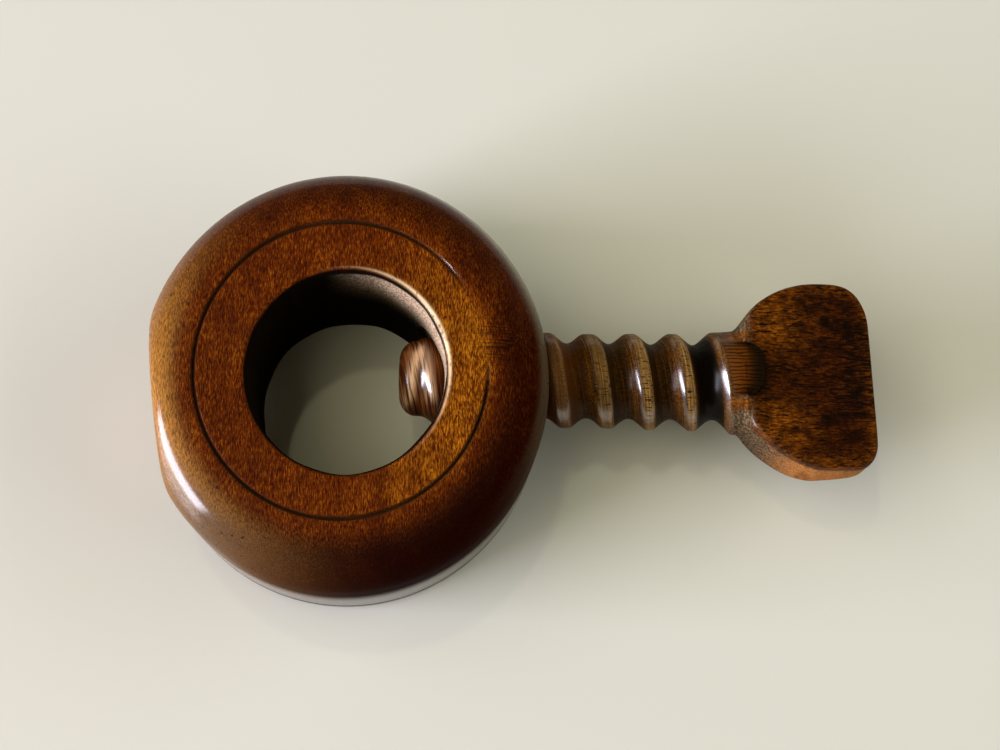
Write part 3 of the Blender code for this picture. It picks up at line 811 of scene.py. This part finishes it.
# %% A net of nodes
class Net:
    """The net of nodes of a new material."""

    def __init__(self, name):
        self.material = bpy.data.materials.new(name)
        self.material.use_nodes = True
        self.net = self.material.node_tree
        self.shader = self.net.nodes["Principled BSDF"]
        self.place = self.node("TexCoord").outputs["Object"]

    def feed(self, socket, value):
        """Joins a result to a socket, or writes a plain value on it."""
        if isinstance(value, bpy.types.NodeSocket):
            self.net.links.new(value, socket)
        else:
            socket.default_value = value

    def node(self, kind, inputs=None, **settings):
        """Makes a node, chooses its settings and feeds its inputs, which go by name or by number."""
        item = self.net.nodes.new("ShaderNode" + kind)
        for name, value in settings.items():
            setattr(item, name, value)
        for name, value in (inputs or {}).items():
            self.feed(item.inputs[name], value)
        return item


print("Helpers of a net:", *[name for name in vars(Net) if not name.startswith("_")])

# %% [markdown]
# ## Building a material from few words
# On top of the net, each word makes one kind of node and returns its result, so that the recipes below read like
# recipes. The noise is measured in millimetres of wood: a grain of 0.3 by 2 by 0.3 is a streak that runs along Y.

# %% Building a material from few words
class Recipe(Net):
    """Short words for the nodes that a wood needs."""

    def noise(self, grain, detail=2.0, rough=0.5, twist=0.0, seed=0.0, place=None):
        """Noise from 0 to 1 whose grains measure so many millimetres along X, Y and Z."""
        unit = 1.0 if place else MM
        scale = [1 / (size * unit) for size in grain]
        start = (seed, 2.3 * seed, 1.7 * seed)
        mapping = self.node("Mapping", {"Vector": place or self.place, "Scale": scale, "Location": start})
        return self.node("TexNoise", {"Vector": mapping.outputs["Vector"], "Scale": 1.0, "Detail": detail,
                                      "Roughness": rough, "Distortion": twist}).outputs["Fac"]

    def between(self, value, low, high, to_low=0.0, to_high=1.0):
        """Stretches the part of a value between two levels to 0 and 1, smoothly, and holds it there."""
        levels = {"Value": value, "From Min": low, "From Max": high, "To Min": to_low, "To Max": to_high}
        return self.node("MapRange", levels, interpolation_type="SMOOTHSTEP").outputs["Result"]

    def math(self, operation, a, b):
        """One piece of arithmetic, such as MAXIMUM or SINE."""
        return self.node("Math", {0: a, 1: b}, operation=operation).outputs["Value"]

    def times(self, a, b):
        """The product of two values."""
        return self.math("MULTIPLY", a, b)

    def plus(self, a, b):
        """The sum of two values."""
        return self.math("ADD", a, b)

    def part_of(self, share, value):
        """A value from 0 to 1 made weaker, so that the layer under it still shows."""
        return self.times(value, share)

    def rest_of(self, value):
        """What a value from 0 to 1 leaves over."""
        return self.math("SUBTRACT", 1.0, value)

    def mix(self, share, a, b):
        """Mixes two colours by a share from 0 to 1."""
        a, b = [(*colour, 1) if isinstance(colour, tuple) else colour for colour in (a, b)]
        return self.node("Mix", {"Factor": share, 6: a, 7: b}, data_type="RGBA").outputs[2]

    def ramp(self, value, *stops):
        """Turns a value into colours, given as pairs of a level and a colour."""
        node = self.node("ValToRGB", {"Fac": value})
        elements = node.color_ramp.elements
        while len(elements) < len(stops):
            elements.new(0.5)
        for element, (level, colour) in zip(elements, stops):
            element.position = level
            element.color = (*colour, 1)
        return node.outputs["Color"]

    def mark(self, name, output="Fac"):
        """A mark that was stored on the mesh."""
        return self.node("Attribute", attribute_name=name).outputs[output]

    def facing_away(self, low, high):
        """0 where the surface is seen straight on, rising to 1 where the eye looks along it."""
        return self.between(self.node("LayerWeight").outputs["Facing"], low, high)

    def finish(self, colour, roughness, height, bump_depth, specular, wax=0.0, wax_roughness=0.2, wax_index=1.5):
        """Joins the results to the shader. The bump's depth is in millimetres, and wax is a thin clear coat."""
        bump = self.node("Bump", {"Strength": 1.0, "Distance": bump_depth * MM, "Height": height})
        results = {"Normal": bump.outputs["Normal"], "Base Color": colour, "Roughness": roughness,
                   "Coat Weight": wax, "Coat Roughness": wax_roughness, "Coat IOR": wax_index,
                   "Specular IOR Level": specular, "Specular Tint": (1.0, 0.86, 0.68, 1)}
        for name, value in results.items():
            self.feed(self.shader.inputs[name], value)
        return self.material


print("Words of a recipe:", *[name for name in vars(Recipe) if not name.startswith("_")])

# %% [markdown]
# ## The colour of the ring's wood
# The ring is a pale fruitwood that wax and hands have turned chestnut. Its grain runs along Y, so short fine
# flecks lie that way. Each layer is a colour mixed over the last one by a mark, a noise or both. The shoulder is
# darker than the face, most of all on the side turned from the window, where shade is painted in over old wax,
# and tan on the side towards the window, partly from the hand and partly painted light.

# %% The colour of the ring's wood
def ring_body_colour(r, streaks):
    """Layers, from the bottom up: streaks, bare face, flecks, stains, patina with painted shade, tan with painted
    light, dust with painted sheen, a foot paled by dust and a painted reflection, and an edge with painted sheen.
    """
    broad = r.noise((2.5, 9, 2.5), detail=3, seed=3)
    stains = r.noise((4, 5, 4), detail=5, rough=0.62, seed=11)
    tone = r.plus(r.times(streaks, 0.8), r.times(broad, 0.2))
    colour = r.ramp(tone, (0.39, (0.028, 0.0028, 0.0002)), (0.47, (0.092, 0.012, 0.0004)),
                    (0.55, (0.15, 0.026, 0.0006)), (0.64, (0.3, 0.078, 0.003)))
    bare = r.ramp(tone, (0.4, (0.08, 0.012, 0.0004)), (0.5, (0.25, 0.065, 0.002)), (0.61, (0.6, 0.205, 0.009)))
    colour = r.mix(r.part_of(0.85, r.mark("thumbed")), colour, bare)
    flecks = r.between(r.noise((0.15, 0.5, 0.15), detail=1, seed=5), 0.58, 0.66)
    colour = r.mix(r.part_of(0.55, flecks), colour, (0.026, 0.0035, 0.0006))
    colour = r.mix(r.between(stains, 0.4, 0.68, 0.0, 0.45), colour, (0.048, 0.0065, 0.0008))
    # Painted shade over old wax: the shoulder turns almost black towards the lower right.
    colour = r.mix(r.part_of(0.95, r.mark("patina")), colour, (0.008, 0.0003, 0.0002))
    # Tan from the hand, made lighter as painted light on the side towards the window.
    tan = r.mix(r.between(streaks, 0.34, 0.64), (0.195, 0.068, 0.007), (0.51, 0.22, 0.033))
    colour = r.mix(r.part_of(0.8, r.mark("handled")), colour, tan)
    mottle = r.between(r.noise((0.35, 0.45, 0.35), detail=4, rough=0.75, seed=8), 0.36, 0.64)
    # Dust with a painted grey sheen on the lower left shoulder.
    dusty = r.times(r.mark("dusty"), r.plus(r.part_of(0.35, mottle), 0.48))
    colour = r.mix(dusty, colour, (0.062, 0.038, 0.024))
    # Paler foot: dust, with a painted reflection of the table.
    colour = r.mix(r.part_of(0.18, r.mark("foot")), colour, (0.16, 0.1, 0.065))
    # Painted sheen: the grey band by the outline at the upper right.
    return r.mix(r.part_of(0.5, r.mark("edge")), colour, (0.125, 0.105, 0.065))


print("The body's colour.", ring_body_colour.__doc__)

# %% [markdown]
# ## Dirt and wear on the ring
# Over the body's colour lie the small things: dark pits, scratches by the screw, the inside of the chamber painted
# nearly black as shade, a pale band of shell dust on its wall with painted light and sheen, dirt in the incised
# lines, and the rim, which shows bare pale wood brightened with a painted highlight.

# %% Dirt, wear and painted light on the ring
def ring_worn_colour(r, colour):
    """Layers, from the bottom up: pits, scratches, the inside painted dark as shade, shell dust with painted light
    and sheen, dirt in the lines, and a bare rim with a painted highlight.
    """
    pits = r.between(r.noise((0.55, 0.8, 0.55), detail=1, seed=51), 0.7, 0.76)
    colour = r.mix(r.part_of(0.75, pits), colour, (0.01, 0.003, 0.0008))
    scratch = r.between(r.noise((4.2, 0.14, 0.5), detail=1, seed=41), 0.5, 0.56)
    colour = r.mix(r.times(r.mark("scratched"), scratch), colour, (0.014, 0.003, 0.0006))
    # Painted shade: the inside of the chamber nearly black.
    colour = r.mix(r.part_of(0.985, r.mark("inside")), colour, (0.003, 0.0018, 0.001))
    fine = r.between(r.noise((0.28, 0.28, 0.45), detail=2, rough=0.7, seed=23), 0.4, 0.62)
    shell_dust_and_sheen = r.mix(fine, (0.29, 0.185, 0.115), (0.69, 0.5, 0.35))
    # Shell dust with painted light and sheen on the upper chamber wall.
    colour = r.mix(r.mark("rubbed"), colour, shell_dust_and_sheen)
    colour = r.mix(r.part_of(0.9, r.mark("line")), colour, (0.018, 0.011, 0.0055))
    # Bare rim, nearly white: worn wood with a painted highlight.
    rim_break = r.between(r.noise((0.5, 0.9, 0.5), detail=3, seed=13), 0.22, 0.5)
    return r.mix(r.times(r.mark("rim"), rim_break), colour, (0.98, 0.68, 0.4))


print("Over the body's colour.", ring_worn_colour.__doc__)

# %% [markdown]
# ## The ring's wax
# Wax is a thin clear coat over the wood. It is missing inside the chamber and in the lines, and the side that is
# turned from the window shows it only at a slant. Wax over old dirt shines most where the eye looks along it, so
# at the foot and the edge its share grows with the Layer Weight node's Facing value, which is made for that.

# %% The ring's wax
def ring_wood():
    """The body's colour, dirt and wear over it, roughness, fine relief and the wax."""
    r = Recipe("ring_wood_waxed")
    streaks = r.noise((0.14, 0.85, 0.14), detail=3, rough=0.6, twist=0.2)
    speckle = r.between(r.noise((0.5, 0.7, 0.5), detail=3, rough=0.7, seed=8), 0.44, 0.6)
    colour = ring_worn_colour(r, ring_body_colour(r, streaks))
    height = r.plus(r.times(streaks, 0.6), r.times(speckle, 0.25))
    dull = r.times(r.mark("dull"), r.facing_away(0.0, 0.14))
    unpolished = r.math("MAXIMUM", r.mark("inside"), dull)
    gloss = r.between(r.noise((1.3, 2.2, 1.3), detail=4, rough=0.65, seed=17), 0.3, 0.7, 0.42, 0.58)
    roughness = r.math("MAXIMUM", gloss, r.part_of(0.95, unpolished))
    foot_and_edge = r.math("MAXIMUM", r.mark("foot"), r.mark("edge"))
    shiny = r.times(foot_and_edge, r.facing_away(0.45, 0.75))
    wax = r.plus(r.part_of(0.5, r.rest_of(unpolished)), r.part_of(0.45, shiny))
    wax = r.times(wax, r.rest_of(r.mark("line")))
    return r.finish(colour, roughness, height, 0.05, 0.05, wax, wax_roughness=0.15, wax_index=1.6)


ring.data.materials.clear()
ring.data.materials.append(ring_wood())
print("The ring's wood has", len(ring.data.materials[0].node_tree.nodes), "nodes")

# %% [markdown]
# ## The thread's wood
# The screw's grain runs along X. On the thread the wood is olive brown, black in the valleys, with painted shade
# on one flank, and orange on the crests, where the pores cut across show as short ticks. The cutter left fine
# lines that follow the helix, so that noise is read on the stored helix and not on the place. Near the ring the
# wood is redder, and on the nose dark red with two painted highlights drawn as pale bundles of fibres.

# %% The thread's wood
def thread_colour(r, tone, cutter_lines):
    """Layers, from the bottom up: lines of the cutter, valleys, the shaded flank, bare lands with ticks, red."""
    olive = r.ramp(tone, (0.4, (0.014, 0.0036, 0.0002)), (0.5, (0.068, 0.021, 0.0012)), (0.61, (0.2, 0.078, 0.009)))
    olive = r.mix(r.between(r.mark("depth"), 0.4, 1.0, 0.0, 0.62), olive, (0.007, 0.003, 0.0008))
    olive = r.mix(r.part_of(0.84, r.mark("shade")), olive, (0.008, 0.003, 0.0006))
    ticks = r.between(r.noise((1.6, 0.2, 0.2), detail=1, seed=6), 0.58, 0.64)
    pale = r.mix(r.between(cutter_lines, 0.35, 0.65), (0.13, 0.055, 0.011), (0.43, 0.22, 0.06))
    land = r.mix(ticks, pale, (0.01, 0.0035, 0.001))
    olive = r.mix(r.part_of(0.85, r.mark("crest")), olive, land)
    return r.mix(r.part_of(0.45, r.mark("reddened")), olive, (0.125, 0.031, 0.0016))


def nose_colour(r, nose_lines):
    """Dark red wood in coarse lines along the helix, and two painted highlights drawn as pale bundles of fibres."""
    nose = r.ramp(nose_lines, (0.38, (0.042, 0.0085, 0.0018)), (0.55, (0.14, 0.038, 0.009)),
                  (0.7, (0.27, 0.098, 0.032)))
    bundles = r.times(r.mark("bundles"), r.between(nose_lines, 0.3, 0.58))
    return r.mix(bundles, nose, (0.86, 0.52, 0.3))


print("The thread.", thread_colour.__doc__)

# %% [markdown]
# ## The thumb-piece's wood
# The thumb-piece's face is red and orange under dark stains, with spots and long cracks along the grain. Its side
# was never waxed: it is pinkish brown with fine pores, and greyer near the neck, where a rough sheen is painted
# in as grey speckled wood. The tongue was cut with a coarse tool that left ridges half a millimetre apart. A sine
# of the place across, pushed about by noise, draws them.
# The places along are in millimetres, counted from the middle of the whole part.

# %% The thumb-piece's wood
RIDGE_SPACING = 0.54
GREY_SIDE_END = (35.5, 42.0)


def face_colour(r, grain, stains, honey, cracks):
    """Layers, from the bottom up: red wood, orange wear, dark stains, spots, cracks."""
    broad = r.noise((5, 1.8, 1.8), detail=3, seed=4)
    tone = r.plus(r.times(grain, 0.65), r.times(broad, 0.35))
    red = r.ramp(tone, (0.39, (0.006, 0.0008, 0.0001)), (0.5, (0.021, 0.003, 0.0002)),
                 (0.63, (0.085, 0.017, 0.0006)))
    red = r.mix(r.part_of(0.85, r.mark("warm")), red, honey)
    red = r.mix(r.between(stains, 0.46, 0.62, 0.0, 0.75), red, (0.012, 0.0022, 0.0003))
    blotch = r.times(r.mark("spots"), r.between(stains, 0.36, 0.58, 0.1, 1.05))
    red = r.mix(r.math("MINIMUM", blotch, 0.86), red, (0.003, 0.001, 0.0003))
    return r.mix(r.part_of(0.85, cracks), red, (0.003, 0.0012, 0.0004))


def side_colour(r, place_x, stains):
    """Pinkish brown wood with pores and stains, turning grey towards the neck, where a rough sheen is painted."""
    pores = r.noise((0.35, 0.35, 0.35), detail=3, rough=0.7, seed=27)
    side = r.mix(r.between(pores, 0.38, 0.62), (0.285, 0.105, 0.024), (0.53, 0.21, 0.064))
    side = r.mix(r.between(stains, 0.5, 0.66, 0.0, 0.5), side, (0.09, 0.026, 0.004))
    # Painted sheen: grey speckled wood on the side near the neck.
    grey = r.mix(r.between(pores, 0.4, 0.66), (0.045, 0.026, 0.012), (0.23, 0.15, 0.085))
    return r.mix(r.between(place_x, GREY_SIDE_END[0] * MM, GREY_SIDE_END[1] * MM), grey, side)


def tongue_colour(r, place_y, grain):
    """Ridges across the tongue: the sine of the place over their spacing, with noise added to both."""
    waviness = r.times(r.noise((3.0, 0.9, 3.0), detail=2, seed=31), 9.0)
    turn = r.plus(r.times(place_y, 2 * np.pi / (RIDGE_SPACING * MM)), waviness)
    ridges = r.plus(r.math("SINE", turn, 0.0), r.times(grain, 1.4))
    return r.mix(r.between(ridges, -0.5, 1.1), (0.024, 0.006, 0.0006), (0.15, 0.039, 0.0028))


print("The thumb-piece's face.", face_colour.__doc__)

# %% [markdown]
# ## The screw's wood and wax
# The parts of the screw are joined by their marks, and the painted shadow in the groove behind the collar and the
# painted shadow at the step are laid over them. Wax fills the low places least: hands rub it on over the crests.
# It is thin on the face, missing on the thumb-piece's side, and nearly gone where the eye looks along the surface.

# %% The screw's wood and wax
THUMB_PIECE_START = (30.5, 32.5)


def screw_wood():
    """The thread, the nose, the thumb-piece with its tongue, then roughness, fine relief and the wax."""
    r = Recipe("screw_wood_waxed")
    grain = r.noise((1.0, 0.26, 0.26), detail=4, rough=0.7, twist=0.4)
    helix_place = r.mark("helix", "Vector")
    cutter_lines = r.noise((0.13, 0.13, 0.16), detail=3, rough=0.65, seed=2, place=helix_place)
    nose_lines = r.noise((0.34, 0.34, 0.13), detail=2, rough=0.5, seed=12, place=helix_place)
    tone = r.plus(r.times(cutter_lines, 0.55), r.times(grain, 0.45))
    stains = r.noise((2.6, 2.2, 2.6), detail=5, rough=0.68, seed=9)
    honey = r.ramp(grain, (0.36, (0.05, 0.0085, 0.0002)), (0.5, (0.15, 0.036, 0.0008)), (0.64, (0.32, 0.1, 0.004)))
    cracks = r.noise((1.7, 0.32, 0.32), detail=1, seed=21)
    cracks = r.between(r.plus(cracks, r.part_of(0.15, r.mark("cracked"))), 0.62, 0.66)
    place = r.node("SeparateXYZ", {"Vector": r.place})
    place_x, place_y = place.outputs["X"], place.outputs["Y"]

    colour = r.mix(r.mark("nose"), thread_colour(r, tone, cutter_lines), nose_colour(r, nose_lines))
    # Painted shadow in the groove behind the collar.
    colour = r.mix(r.mark("black"), colour, (0.003, 0.0014, 0.0005))
    thumb = r.mix(r.mark("face"), side_colour(r, place_x, stains), face_colour(r, grain, stains, honey, cracks))
    on_thumb = r.between(place_x, THUMB_PIECE_START[0] * MM, THUMB_PIECE_START[1] * MM)
    colour = r.mix(on_thumb, colour, thumb)
    colour = r.mix(r.part_of(0.8, r.mark("corner")), colour, honey)
    colour = r.mix(r.mark("tongue"), colour, tongue_colour(r, place_y, grain))
    # Painted shade and shadow at the tongue's step.
    colour = r.mix(r.part_of(0.95, r.mark("step")), colour, (0.003, 0.0016, 0.0004))

    streaky = r.plus(r.times(r.mark("nose"), 4.0), r.between(r.mark("depth"), 0.45, 0.05, 0.0, 1.2))
    height = r.plus(tone, r.times(cracks, -0.8))
    height = r.plus(height, r.times(streaky, nose_lines))
    bare_side = r.times(on_thumb, r.rest_of(r.mark("face")))
    gloss = r.between(r.noise((1.6, 0.8, 0.8), detail=4, rough=0.65, seed=15), 0.3, 0.7, 0.4, 0.56)
    roughness = r.math("MAXIMUM", gloss, r.part_of(0.95, bare_side))
    wax_of_face = r.between(r.mark("face"), 0, 1, 0.0, 0.18)
    wax = r.between(r.mark("depth"), 0.12, 0.45, 1.0, 0.04)
    wax = r.times(wax, r.math("MAXIMUM", r.rest_of(on_thumb), wax_of_face))
    wax = r.times(wax, r.rest_of(r.part_of(0.85, r.facing_away(0.28, 0.6))))
    return r.finish(colour, roughness, height, 0.07, 0.05, wax, wax_roughness=0.24, wax_index=2.2)


screw.data.materials.clear()
screw.data.materials.append(screw_wood())
print("The screw's wood has", len(screw.data.materials[0].node_tree.nodes), "nodes")

# %% [markdown]
# ## Which body each piece rides on
# The ring stays put, and the screw turns and advances. The finer skins stand for the packed nodes, which stay
# in the physics. The nose is the screw's own end, so one skin stands for both nodes.

# %% Which body each piece rides on
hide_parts("ring")
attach(ring, "ring")
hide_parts("screw", "screw_nose")
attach(screw, "screw")
print(ring.name, "stays put, and", screw.name, "rides on the screw")

# %% [markdown]
# ## The table
# The nutcracker lies on a pale matt table. The pale tone is the table's own colour, and the lamps are kept at
# a level at which a colour renders about as it is written.

# %% The table
TABLE_WIDTH = 4.0


def table():
    """A wide square on the ground, with a faint unevenness in its tone."""
    half = TABLE_WIDTH / 2
    mesh = bpy.data.meshes.new("table")
    mesh.from_pydata([(-half, -half, 0), (half, -half, 0), (half, half, 0), (-half, half, 0)], [], [(0, 1, 2, 3)])
    item = bpy.data.objects.new("table", mesh)
    bpy.context.scene.collection.objects.link(item)
    r = Recipe("table_top")
    tone = r.noise((60, 60, 60), detail=2)
    colour = r.mix(tone, (0.712, 0.684, 0.658), (0.728, 0.699, 0.673))
    item.data.materials.append(r.finish(colour, 0.3, tone, 0.0, 0.5))
    print("The table is", TABLE_WIDTH, "m wide")
    return item


table()

# %% [markdown]
# ## The light
# The shadows in the photograph tell where its light came from. A wide low window on the left, with a bright sill
# under it, gives two fifths of the light on the table, and strikes upright wood four times harder than the
# table. Pale walls give most of the rest, and one small lamp high up behind the ring draws the sharp crescent
# inside the chamber. Only the window and its sill are seen in the wax: the walls and the small lamp are kept out
# of the reflections, because the photograph shows no veil on the face.

# %% The light
def area_lamp(name, azimuth, elevation, distance, size, power, colour):
    """A rectangular lamp that looks at the ring from a direction, in degrees from +X and above the table."""
    data = bpy.data.lights.new(name, "AREA")
    data.shape = "RECTANGLE"
    data.size, data.size_y = size
    data.energy = power
    data.color = colour
    item = bpy.data.objects.new(name, data)
    bpy.context.scene.collection.objects.link(item)
    a, e = np.radians(azimuth), np.radians(elevation)
    direction = Vector((np.cos(a) * np.cos(e), np.sin(a) * np.cos(e), np.sin(e)))
    item.location = direction * distance
    item.rotation_mode = "QUATERNION"
    item.rotation_quaternion = direction.to_track_quat("Z", "Y")
    return item


window = area_lamp("window", 194, 15, 2.0, (1.15, 0.55), 58.0, (0.97, 0.98, 1.16))
bright_wall = area_lamp("bright_wall", 181, 38, 2.0, (2.8, 1.4), 13.6, (1.0, 1.0, 0.98))
upper_wall = area_lamp("upper_wall", 184, 60, 2.0, (2.0, 1.2), 11.4, (1.05, 1.0, 0.62))
sill = area_lamp("sill", 194, 4.5, 2.0, (1.15, 0.22), 9.0, (1.0, 0.98, 0.9))
far_wall = area_lamp("far_wall", 1, 25, 2.0, (2.4, 1.4), 31.5, (0.95, 1.0, 0.85))
small_lamp = area_lamp("small_lamp", 125, 69.3, 1.0, (0.035, 0.035), 0.55, (1.0, 1.0, 0.6))
for lamp in (bright_wall, upper_wall, far_wall, small_lamp):
    lamp.visible_glossy = False
print("Of", len(bpy.data.lights), "lamps, the wax shows", window.name, "and", sill.name)

# %% [markdown]
# ## The room
# The world gives the faint light that comes from everywhere. A camera should see a pale wall behind the table and
# not that dim light, so the Light Path node picks another colour for the rays that come straight from the camera.
# The view transform is set to Standard, which shows a colour as it is.

# %% The room
world = bpy.data.worlds.new("studio")
world.use_nodes = True
bpy.context.scene.world = world
nodes, links = world.node_tree.nodes, world.node_tree.links
room = nodes["Background"]
room.inputs["Color"].default_value = (1.0, 0.95, 0.5, 1)
room.inputs["Strength"].default_value = 0.06
pale = nodes.new("ShaderNodeBackground")
pale.inputs["Color"].default_value = (0.7, 0.68, 0.6, 1)
light_path = nodes.new("ShaderNodeLightPath")
choose = nodes.new("ShaderNodeMixShader")
links.new(light_path.outputs["Is Camera Ray"], choose.inputs["Fac"])
links.new(room.outputs["Background"], choose.inputs[1])
links.new(pale.outputs["Background"], choose.inputs[2])
links.new(choose.outputs["Shader"], nodes["World Output"].inputs["Surface"])
bpy.context.scene.view_settings.view_transform = "Standard"
print("The room's light has a strength of", round(room.inputs["Strength"].default_value, 3))

# %% [markdown]
